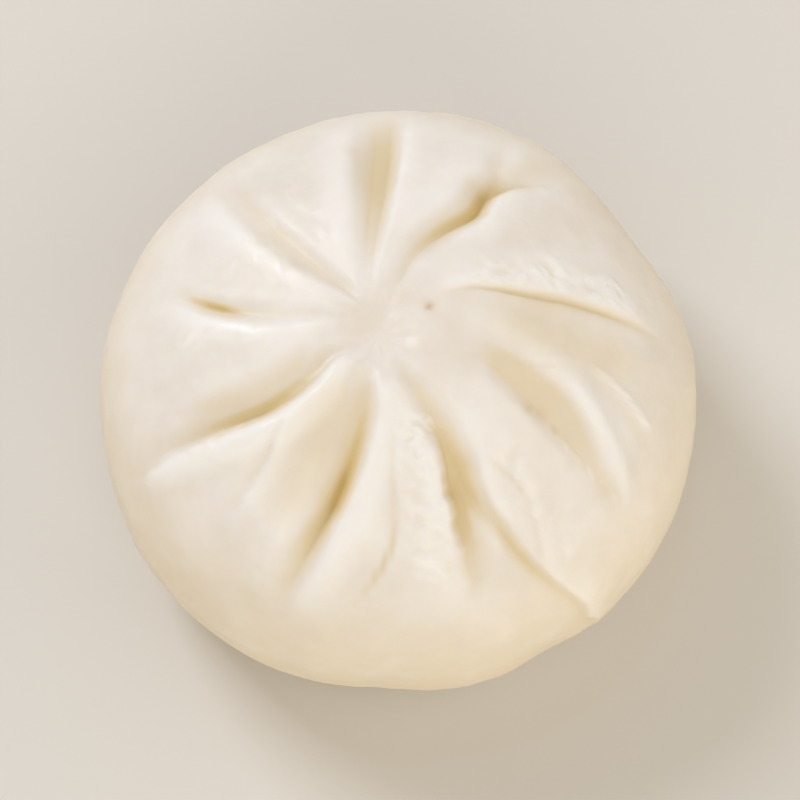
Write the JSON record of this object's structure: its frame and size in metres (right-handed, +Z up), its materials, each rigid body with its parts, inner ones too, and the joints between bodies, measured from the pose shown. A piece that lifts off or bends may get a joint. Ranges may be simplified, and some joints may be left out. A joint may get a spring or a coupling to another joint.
{
  "type": "steamed bun",
  "caption": "Round steamed bun of white dough: a domed, pleated crown gathered to a pinched knot, a lapped seam down one side, and a flat base to rest on.",
  "frame": {"origin": "middle of the bun's bounding box in plan, on the surface that its flat base stands on", "axes": "+Z up from the base through the crown; +X and +Y level, with the lapped seam running down the bun 50 degrees clockwise of +X, seen from above"},
  "size_m": [0.0818, 0.0808, 0.0458],
  "materials": {
    "dough": null
  },
  "bodies": {
    "root": {"bun": "dough"}
  },
  "joints": []
}
